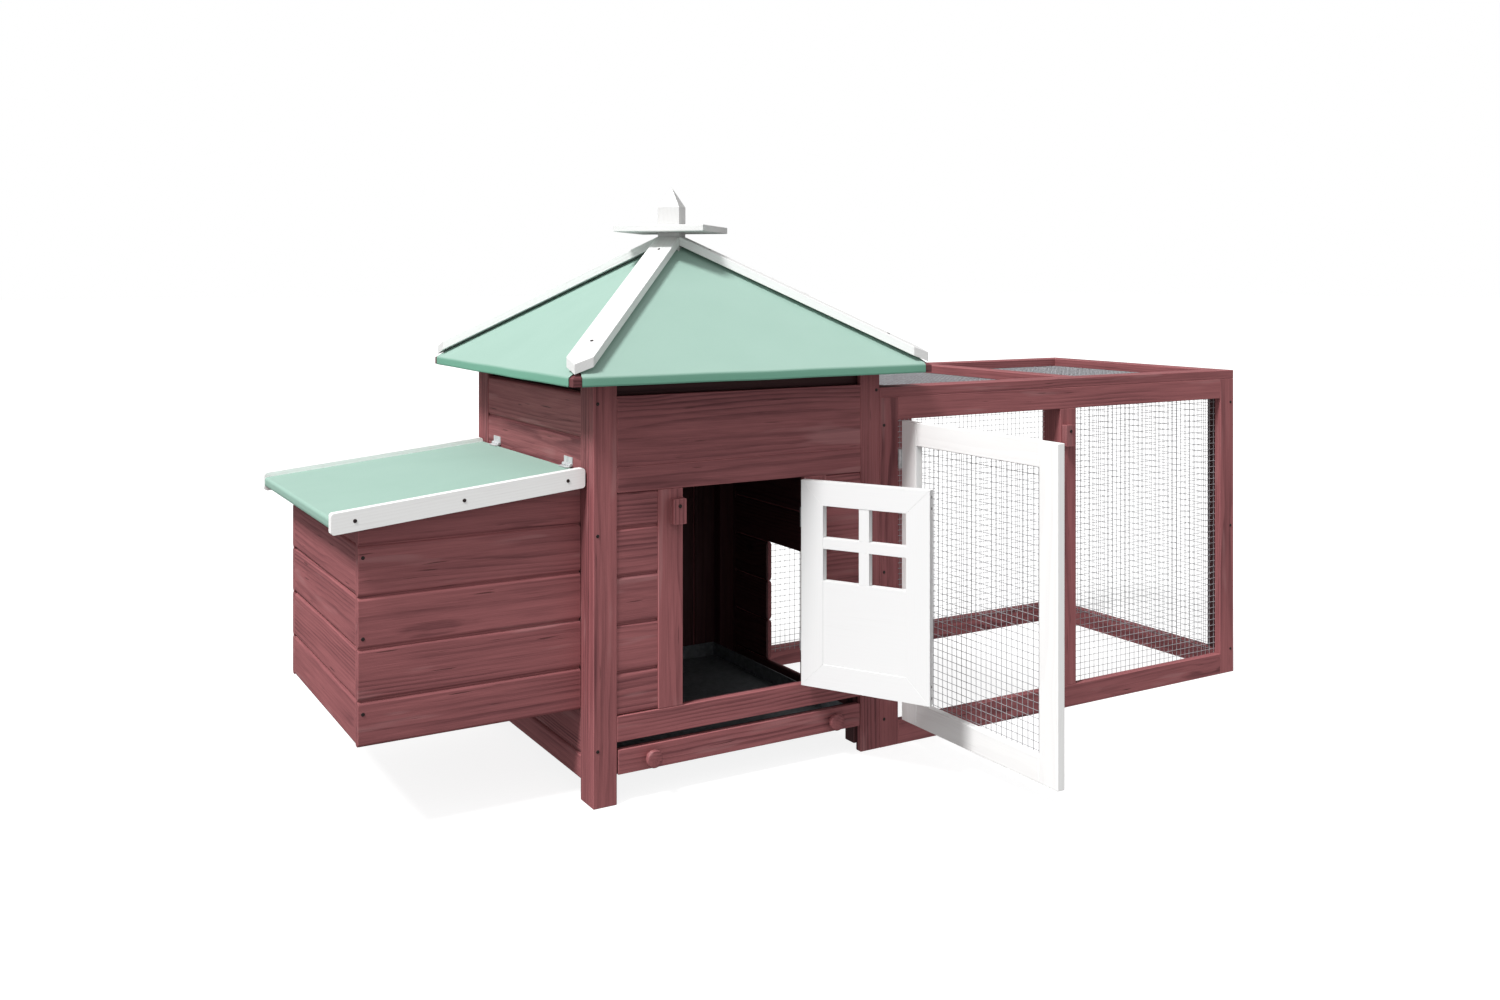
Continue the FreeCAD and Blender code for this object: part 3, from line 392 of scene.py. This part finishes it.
front_slot, side_slot = 0.023, 0.018
timber("front_upper_board_timber", shortened_for_eave_shadow(boards_of("front_upper_board"), front_slot), mocha,
       stands_for=["front_upper_board"], arris=0.0016)
for node, along in (("front_boards", (1, 0, 0)), ("left_wall_boards", (0, 1, 0)),
                    ("right_wall_boards", (0, 1, 0)), ("back_boards", (0, 0, 1)),
                    ("nest_side_boards", (1, 0, 0)), ("nest_end_boards", (0, 1, 0))):
    boards = boards_of(node, along=Vector(along))
    if node in ("left_wall_boards", "right_wall_boards"):
        boards = shortened_for_eave_shadow(boards, side_slot)
    strips = tongues(boards)
    timber(node + "_timber", boards, mocha, stands_for=[node], arris=0.0006, ease=0.0058)
    timber(node + "_tongues", strips, mocha, arris=0.0003)
timber("nest_floor_timber", boards_of("nest_floor"), mocha, stands_for=["nest_floor"])


# ---- roof -------------------------------------------------------------------------------------
# Four deck panels on the wall plates carry mint green mineral felt. Each sheet is folded down over
# the eave; at the corners the folds are cut back round and leave the deck's wood open.
# The deck's stain is made darker all over: painted shade for the open corners and under the eaves.
deck_shaded_stain = (colour(112, 62, 66), colour(70, 36, 40), colour(40, 18, 18), colour(112, 70, 72))
deck_shaded_mocha = stained_wood("mocha_stained_deck_painted_shade", *deck_shaded_stain, house_room)
timber("roof_deck_timber", boards_of("roof_deck"), deck_shaded_mocha, stands_for=["roof_deck"],
       arris=0.0006)


def felt_finish(name, base, shade, bent):
    """Mineral felt: fine grit pressed into bitumen, darker over its folds."""
    finish = Finish(name, Specular_IOR_Level=0.2)
    spot = finish.node("TexCoord", {}, {}, 3)
    grit = finish.noise(spot, (900.0, 900.0, 900.0), 2.0, 0.7)
    speck = finish.node("TexVoronoi", {}, {"Vector": spot, "Scale": 700.0})
    cloud = finish.noise(spot, (9.0, 9.0, 9.0), 4.0)
    share = (grit - 0.5) * 0.5 + (cloud - 0.5) * 0.45 + finish.step(speck, 0.25, 0.0) * 0.22 + 0.12
    share = share.math("MINIMUM", share.math("MAXIMUM", share, 0.0), 1.0)
    skin = finish.mix(attribute(finish, "fold", 2), finish.mix(share, base, shade), bent)
    finish.wear(Base_Color=skin, Roughness=0.82 + grit * 0.15)
    finish.relief(grit * 0.6 + speck * 0.5, 0.0004, 0.55)
    return finish


def felt_sheet(name, rows, folds, thickness, body, stands_for):
    """A sheet through rows of points, with its thickness below them. Each row has its fold."""
    width = len(rows[0])
    spots = [spot for row in rows for spot in row]
    polygons = [(r * width + c, (r + 1) * width + c, (r + 1) * width + c + 1, r * width + c + 1)
                for r in range(len(rows) - 1) for c in range(width - 1)]
    mesh = bpy.data.meshes.new(name)
    mesh.from_pydata(spots, [], polygons)
    shares = [fold for fold in folds for column in range(width)]
    mesh.attributes.new("fold", "FLOAT", "POINT").data.foreach_set("value", shares)
    piece = shown(name, mesh, mint_felt, body, stands_for)
    solid = piece.modifiers.new("felt_thickness", "SOLIDIFY")
    solid.thickness, solid.offset = thickness, -1.0
    piece.modifiers.move(1, 0)
    return piece


mint_felt = felt_finish("mint_mineral_felt", colour(150, 177, 166), colour(132, 161, 149),
                        colour(112, 163, 142))
roof_low, roof_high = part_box("roof_felt")
roof_centre = (roof_low + roof_high) / 2
eave_fold, fold_radius, corner_cut = 0.015, 0.0055, 0.017
roof_rise, felt_thick = 0.224, 0.002
half_eaves = ((roof_high - roof_low) / 2).to_2d()
eave_top = roof_low.z + eave_fold


def fold_section(out, slope):
    """Points down one slope and over its fold: distance from the roof's centre, level, fold."""
    # The felt is darker over the fold: up to this share of its fold colour at the end of the bend.
    section, steps, edge_tint = [], 8, 0.9
    for share in (0.06, 0.2, 0.4, 0.6, 0.75, 0.87, 0.94):
        section.append((out * share, eave_top + (1 - share) * roof_rise, 0.0))
    bend = math.pi / 2 - slope
    start = fold_radius * math.tan(bend / 2)
    centre_out = out - fold_radius
    centre_up = eave_top + start * math.sin(slope) - fold_radius * math.cos(slope)
    for step in range(steps + 1):
        turn = slope + bend * step / steps
        section.append((centre_out + fold_radius * math.sin(turn),
                        centre_up + fold_radius * math.cos(turn), (step / steps) ** 1.5 * edge_tint))
    for drop in (0.4, 0.75, 1.0):
        section.append((out, centre_up - (centre_up - eave_top + eave_fold) * drop, 1.0))
    return section


half_columns, sag_depth = 12, 0.0004
for index, title in enumerate(("front", "right", "back", "left")):
    facing = Matrix.Rotation(math.pi / 2 * index, 3, "Z") @ Vector((0, -1, 0))
    sideways = Matrix.Rotation(math.pi / 2 * index, 3, "Z") @ Vector((1, 0, 0))
    out = half_eaves.y if index % 2 == 0 else half_eaves.x
    side = half_eaves.x if index % 2 == 0 else half_eaves.y
    rows = []
    section = fold_section(out, math.atan2(roof_rise, out))
    for distance, level, fold in section:
        from_corner = out - distance
        reach = side * distance / out
        if from_corner < corner_cut:
            reach = min(reach, side - (corner_cut ** 2 - from_corner ** 2) ** 0.5)
        row = []
        for column in range(2 * half_columns + 1):
            share = column / half_columns - 1
            wave = 1 + math.sin(9 * share + 3 * index + 60 * distance)
            sag = sag_depth * wave * (1 - abs(share))
            place = facing * distance + sideways * (reach * share)
            row.append(Vector((roof_centre.x + place.x, roof_centre.y + place.y, level - sag)))
        rows.append(row)
    felt_sheet("roof_felt_" + title, rows, [fold for _, _, fold in section], felt_thick, "coop",
               ["roof_felt"] if index == 0 else [])


# ---- hip battens and finial -------------------------------------------------------------------
# Planed battens painted white are screwed over the four hips. Their upper ends butt against a king
# block, which carries a square plate and a post with a sharp pointed top.
def white_paint(name, base, shade, strength=1.0):
    """Brushed white paint that lets a little of the grain show through as fine grey lines."""
    finish = Finish(name, Specular_IOR_Level=0.4)
    grain, late, knot, _ = growth_rings(finish)
    streaks = finish.noise(grain, (9.0, 520.0, 520.0), 3.0, 0.65)
    patches = finish.noise(grain, (3.0, 26.0, 26.0), 3.0)
    edge = arris_distance(finish)
    thin = finish.step(streaks, 0.52, 0.78) * finish.step(patches, 0.42, 0.72)
    share = thin * 0.6 + late * 0.07 + knot * 0.2 + (1 - finish.step(edge, 0.0, 0.001)) * 0.15
    share = share * strength
    finish.wear(Base_Color=finish.mix(share, base, shade), Roughness=0.42 + thin * 0.2)
    finish.relief(streaks * 0.7 + late * -0.2, 0.0002, 0.3 * strength)
    return finish


white = white_paint("brushed_white_paint", colour(229, 229, 228), colour(186, 180, 179))
# A darker copy of the same white paint, painted shade, for the king block and the post.
shaded_white = white_paint("white_paint_painted_shade", colour(208, 208, 207), colour(176, 171, 170))
for node in ("hip_battens", "finial_king_block", "finial_plate", "finial_post"):
    paint = white if node in ("hip_battens", "finial_plate") else shaded_white
    timber(node + "_timber", boards_of(node), paint, stands_for=[node])


# ---- nest box lid -----------------------------------------------------------------------------
# A board under the same felt, with the felt folded down over its outer end, between two white
# trims that stand a little higher than the felt.
timber("nest_lid_board_timber", boards_of("nest_lid_board"), mocha, "nest_lid",
       stands_for=["nest_lid_board"])
# A brighter copy of the same white paint, painted light, for the lid's trims and the run door.
lit_white = white_paint("white_paint_painted_light", colour(246, 246, 245), colour(206, 201, 200))
timber("nest_lid_trims_timber", boards_of("nest_lid_trims"), lit_white, "nest_lid",
       ["nest_lid_trims"], arris=0.0015)
lid_low, lid_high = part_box("nest_lid_felt")
lid_slope = math.radians(5.6)
lid_fold = lid_high.z - lid_low.z - (lid_high.x - lid_low.x) * math.tan(lid_slope)
# The lid's felt turns up to this share towards its darker fold colour over the fold.
lid_columns, bend_steps, lid_fold_tint = 15, 6, 0.2
outline = []
for share in (1.0, 0.8, 0.6, 0.4, 0.2, 0.08):
    x = lid_low.x + (lid_high.x - lid_low.x) * share
    outline.append((x, lid_high.z - (lid_high.x - x) * math.tan(lid_slope), 0.0))
fold_top = lid_low.z + lid_fold
for step in range(bend_steps + 1):
    turn = lid_slope + (math.pi / 2 - lid_slope) * step / bend_steps
    outline.append((lid_low.x + fold_radius - fold_radius * math.sin(turn),
                    fold_top + fold_radius * math.sin(lid_slope) - fold_radius
                    + fold_radius * math.cos(turn), step / bend_steps * lid_fold_tint))
for drop in (0.5, 1.0):
    level = fold_top - fold_radius - (lid_fold - fold_radius) * drop
    outline.append((lid_low.x, level, lid_fold_tint))
rows = [[Vector((x, lid_low.y + (lid_high.y - lid_low.y) * c / (lid_columns - 1), z))
         for c in range(lid_columns)][::-1] for x, z, fold in outline]
felt_sheet("nest_lid_felt_sheet", rows, [fold for _, _, fold in outline], felt_thick, "nest_lid",
           ["nest_lid_felt"])


# ---- tray -------------------------------------------------------------------------------------
# A shallow pan of galvanised sheet behind a stained wooden front, on two runners. Two turned
# knobs are screwed to the front.
timber("tray_front_timber", boards_of("tray_front"), mocha, "tray", stands_for=["tray_front"])
timber("tray_runners_timber", boards_of("tray_runners"), mocha, stands_for=["tray_runners"])


def galvanised(name, base, spangle, roughness, metallic):
    """Zinc on steel: grey crystals of slightly different shade and gloss."""
    crystals_per_metre = 160.0
    finish = Finish(name, Metallic=metallic)
    spot = finish.node("TexCoord", {}, {}, 3)
    crystal = finish.node("TexVoronoi", {}, {"Vector": spot, "Scale": crystals_per_metre})
    shade = parts(finish, Link(finish, crystal.socket.node.outputs["Color"]))[0]
    dull = finish.noise(spot, (30.0, 30.0, 30.0), 4.0)
    share = shade * 0.6 + dull * 0.4
    finish.wear(Base_Color=finish.mix(share, base, spangle), Roughness=roughness + dull * 0.25)
    finish.relief(dull, 0.0002, 0.3)
    return finish


def coat(node, finish):
    """Give a CAD piece that keeps its shape a finish in all its material slots."""
    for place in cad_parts[node].material_slots:
        place.material = finish.material


zinc = galvanised("galvanised_sheet", colour(124, 127, 131), colour(90, 94, 98),
                  roughness=0.42, metallic=0.45)
coat("tray_pan", zinc)


def knob_boards():
    """Turned knobs: a short neck and a rounded head, with the grain running through them."""
    made, sides = [], 32
    profile = [(0.56, 0.0), (0.54, 0.2), (0.60, 0.42), (0.82, 0.50), (0.97, 0.60), (1.0, 0.72),
               (0.97, 0.86), (0.86, 0.96), (0.6, 0.995), (0.3, 1.0)]
    for knob in boards_of("tray_knobs"):
        spots = [spot for face in knob.faces for spot in face]
        low = Vector([min(s[i] for s in spots) for i in range(3)])
        high = Vector([max(s[i] for s in spots) for i in range(3)])
        centre, radius, reach = (low + high) / 2, (high.x - low.x) / 2, high.y - low.y
        rings = [[Vector((centre.x + radius * r * math.cos(math.tau * k / sides),
                          high.y - reach * t,
                          centre.z + radius * r * math.sin(math.tau * k / sides)))
                  for k in range(sides)] for r, t in profile]
        faces = [[a[k], a[(k + 1) % sides], b[(k + 1) % sides], b[k]]
                 for a, b in zip(rings, rings[1:]) for k in range(sides)]
        faces += [rings[0][::-1], rings[-1]]
        made.append(Board(faces, Vector((0, 1, 0))))
    return made


timber("tray_knobs_turned", knob_boards(), mocha, "tray", stands_for=["tray_knobs"], arris=0.0001)


# ---- frames of the run ------------------------------------------------------------------------
# Butt-jointed frames of the same stained battens: front, back, right end and a flat roof frame
# that rests on them. A square post backs the middle post of the front. The end frame's inner faces
# above its bottom rail get nearly black painted shade.
for node in ("run_front_posts", "run_middle_backing_post", "run_front_rails", "run_back_frame",
             "run_roof_frame"):
    timber(node + "_timber", boards_of(node), mocha, stands_for=[node])
# The end frame's faces inside the run, above its bottom rail, get nearly black painted shade.
run_low, run_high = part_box("run_roof_frame")
rail_top = 0.0435
run_room = (Vector((*run_low.xy, rail_top)), run_high)
shaded_run_end_mocha = stained_wood("mocha_stained_run_end_painted_shade", *stain, run_room)
timber("run_end_frame_timber", boards_of("run_end_frame"), shaded_run_end_mocha, stands_for=["run_end_frame"])


# ---- doors and turn buttons -------------------------------------------------------------------
# Both doors are painted white. The small one has mitred corners, a flush panel and four open
# panes; the tall one is butt-jointed round its wire. A stained wooden button holds each shut.
plain_white = white_paint("smooth_white_paint", colour(230, 230, 230), colour(208, 207, 206), 0.35)
for node in ("house_door_frame", "house_door_panel", "house_door_glazing_bars"):
    timber(node + "_timber", boards_of(node), plain_white, "house_door", [node],
           arris=0.0005)
# The run door takes the brighter copy of the white, painted light.
timber("run_door_frame_timber", boards_of("run_door_frame"), lit_white, "run_door",
       ["run_door_frame"], arris=0.0012)
for side in ("house", "run"):
    timber(side + "_turn_button_wood", boards_of(side + "_turn_button"), mocha, side + "_button",
           stands_for=[side + "_turn_button"], arris=0.0012)


# ---- wire mesh --------------------------------------------------------------------------------
# Welded galvanised wire, about 1 mm thick in squares of 12.7 mm. Upright wires lie on one side and
# level wires on the other; the edges lap over the inside of the frames and are stapled there.
wire_pitch, wire_radius = 0.0127, 0.0005
bright_wire = galvanised("galvanised_wire", colour(176, 176, 179), colour(146, 146, 150),
                         roughness=0.5, metallic=0.2)


def wire(spots, polygons, start, end):
    """A straight wire between two points, added to lists of points and faces."""
    sides = 6
    way = (end - start).normalized()
    u = way.orthogonal().normalized()
    v = way.cross(u)
    first = len(spots)
    for centre in (start, end):
        for k in range(sides):
            turn = math.tau * (k + 0.5) / sides
            spots.append(centre + u * (wire_radius * math.cos(turn))
                         + v * (wire_radius * math.sin(turn)))
    for k in range(sides):
        n = (k + 1) % sides
        polygons.append((first + k, first + n, first + sides + n, first + sides + k))
    polygons.append(tuple(first + k for k in range(sides))[::-1])
    polygons.append(tuple(first + sides + k for k in range(sides)))


def wire_panel(node, body):
    """Two layers of crossing wires across the panel, evenly spaced from its middle."""
    end_gap, weld = 0.001, 1.7
    low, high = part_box(node)
    size = high - low
    thin = min(range(3), key=lambda i: size[i])
    ways = [i for i in range(3) if i != thin]
    middle = (low + high) / 2
    spots, polygons = [], []
    for layer, (way, other) in enumerate((ways, ways[::-1])):
        count = int(size[other] / 2 / wire_pitch)
        for k in range(-count, count + 1):
            start, end = middle.copy(), middle.copy()
            start[other] = end[other] = middle[other] + k * wire_pitch
            start[way], end[way] = low[way] + end_gap, high[way] - end_gap
            start[thin] = end[thin] = middle[thin] + (layer - 0.5) * wire_radius * weld
            wire(spots, polygons, start, end)
    mesh = bpy.data.meshes.new(node + "_wires")
    mesh.from_pydata(spots, [], polygons)
    shown(node + "_wires", mesh, bright_wire, body, [node])


for node in ("run_front_mesh", "run_back_mesh", "run_end_mesh", "run_roof_mesh"):
    wire_panel(node, "coop")
wire_panel("run_door_mesh", "run_door")


# ---- hinges -----------------------------------------------------------------------------------
# Pressed steel butt hinges with galvanised leaves and pins. The doors' leaves are let in between
# door and jamb, and the lid's wall leaves stand on the house's left wall above the lid.
hinge_steel = galvanised("galvanised_hinge_steel", colour(226, 227, 228), colour(188, 190, 192),
                         roughness=0.45, metallic=0.5)
for node in ("nest_lid_hinge_wall_leaves", "nest_lid_hinge_lid_leaves", "door_hinge_jamb_leaves",
             "house_door_hinge_door_leaves", "run_door_hinge_door_leaves", "hinge_pins"):
    coat(node, hinge_steel)


# ---- screws -----------------------------------------------------------------------------------
# Black-coated wood screws with a low domed head and a cross recess. The small ones in the edge of
# the house's door were painted over with it.
def screw_steel(name, base, worn):
    """Coated steel, worn a little brighter on the dome."""
    finish = Finish(name, Metallic=0.4)
    spot = finish.node("TexCoord", {}, {}, 3)
    scuff = finish.noise(spot, (900.0, 900.0, 900.0), 3.0)
    finish.wear(Base_Color=finish.mix(finish.step(scuff, 0.5, 0.8), base, worn),
                Roughness=0.45 + scuff * 0.2)
    finish.relief(scuff, 0.0001, 0.4)
    return finish


black = screw_steel("black_screw_steel", colour(38, 26, 26), colour(84, 66, 64))
grey = screw_steel("painted_screw_steel", colour(150, 148, 147), colour(104, 100, 98))
dome_rings = [(1.0, 0.0), (1.0, 0.35), (0.93, 0.7), (0.78, 0.92), (0.6, 1.0)]
recess_rings = [(0.52, 0.16, 0.97), (0.40, 0.10, 0.25)]


def screw_heads(node, body, finish, size):
    """A head with a cross recess in the place of each plain one."""
    sides, spots, polygons = 16, [], []
    for head in boards_of(node):
        areas = {}
        for face in head.faces:
            normal = (face[1] - face[0]).cross(face[2] - face[0])
            key = tuple(round(c, 2) for c in normal.normalized())
            areas[key] = areas.get(key, 0.0) + normal.length
        down = Vector(max(areas, key=areas.get)).normalized()
        rim = [s for face in head.faces for s in face]
        foot = max(down.dot(s) for s in rim)
        foot_ring = [s for s in rim if down.dot(s) > foot - 1e-5]
        centre = sum(foot_ring, Vector()) / len(foot_ring)
        radius = max((s - centre).length for s in foot_ring) * size
        height = (foot - min(down.dot(s) for s in rim)) * size
        u = down.orthogonal().normalized()
        v = down.cross(u)
        rings = [([reach] * sides, level) for reach, level in dome_rings]
        for tip, root, level in recess_rings:
            rings.append(([tip if k % 4 == 0 else root for k in range(sides)], level))
        first = len(spots)
        for reaches, level in rings:
            for k, reach in enumerate(reaches):
                turn = math.tau * k / sides
                flat = u * math.cos(turn) + v * math.sin(turn)
                spots.append(centre + flat * (radius * reach) - down * (height * level))
        for r in range(len(rings) - 1):
            for k in range(sides):
                n = (k + 1) % sides
                a, b = first + sides * r, first + sides * (r + 1)
                polygons.append((a + n, a + k, b + k, b + n))
        last = first + sides * (len(rings) - 1)
        polygons.append(tuple(last + k for k in range(sides))[::-1])
        polygons.append(tuple(first + k for k in range(sides)))
    mesh = bpy.data.meshes.new(node + "_heads")
    mesh.from_pydata(spots, [], polygons)
    return shown(node + "_heads", mesh, finish, body, [node])


screw_heads("coop_screws", "coop", black, 0.88)
screw_heads("nest_lid_screws", "nest_lid", black, 0.9)
screw_heads("house_door_screws", "house_door", grey, 0.6)
coat("button_screws", black)


# ---- studio -----------------------------------------------------------------------------------
# A plain pale floor under a white sky that glows most from the front left and above, with one
# large soft light from the left, above and a little in front. The camera looks level, from the
# left and in front.
floor_mesh = bpy.data.meshes.new("studio_floor")
floor_reach = 60.0
floor_corners = [(-floor_reach, -floor_reach, 0), (floor_reach, -floor_reach, 0),
                 (floor_reach, floor_reach, 0), (-floor_reach, floor_reach, 0)]
floor_mesh.from_pydata(floor_corners, [], [(0, 1, 2, 3)])
floor = bpy.data.objects.new("studio_floor", floor_mesh)
bpy.context.scene.collection.objects.link(floor)
floor_finish = Finish("pale_floor", Roughness=0.9, Base_Color=(0.3, 0.3, 0.3, 1.0),
                      Emission_Color=(1.0, 1.0, 1.0, 1.0), Emission_Strength=0.86,
                      Specular_IOR_Level=0.1)
floor.visible_diffuse = floor.visible_glossy = False
floor_mesh.materials.append(floor_finish.material)

sky = bpy.data.worlds.new("white_sky")
bpy.context.scene.world = sky
sky.use_nodes = True
backdrop = sky.node_tree.nodes["Background"]
backdrop.inputs["Color"].default_value = (1.0, 1.0, 1.0, 1.0)
seen = sky.node_tree.nodes.new("ShaderNodeLightPath")
way = sky.node_tree.nodes.new("ShaderNodeTexCoord")
towards_light = sky.node_tree.nodes.new("ShaderNodeVectorMath")
towards_light.operation = "DOT_PRODUCT"
towards_light.inputs[1].default_value = (-0.35, -0.55, 0.76)
glow = sky.node_tree.nodes.new("ShaderNodeMapRange")
for socket, value in (("From Min", -1.0), ("From Max", 1.0), ("To Min", 0.0), ("To Max", 0.82)):
    glow.inputs[socket].default_value = value
strength = sky.node_tree.nodes.new("ShaderNodeMix")
strength.inputs["B"].default_value = 1.0
for start, end in ((way.outputs["Generated"], towards_light.inputs[0]),
                   (towards_light.outputs["Value"], glow.inputs["Value"]),
                   (seen.outputs["Is Camera Ray"], strength.inputs["Factor"]),
                   (glow.outputs["Result"], strength.inputs["A"]),
                   (strength.outputs["Result"], backdrop.inputs["Strength"])):
    sky.node_tree.links.new(start, end)

key_light = bpy.data.lights.new("key_light", "SUN")
key_light.energy = 3.8
key_light.angle = math.radians(12)
key = bpy.data.objects.new("key_light", key_light)
key_from = Vector((-0.56, -0.16, 0.81))
key.rotation_mode = "QUATERNION"
key.rotation_quaternion = key_from.to_track_quat("Z", "Y")
bpy.context.scene.collection.objects.link(key)

camera_lens = bpy.data.cameras.new("camera")
camera_lens.sensor_width = 36.0
camera_lens.lens = 31.85
camera_lens.shift_x = 0.0209
camera_lens.shift_y = -0.1465
camera = bpy.data.objects.new("camera", camera_lens)
camera.location = (-1.4392, -2.0471, 0.8487)
camera.rotation_euler = (math.radians(90), 0.0, math.radians(-29.85))
bpy.context.scene.collection.objects.link(camera)
bpy.context.scene.camera = camera
bpy.context.scene.view_settings.view_transform = "Standard"
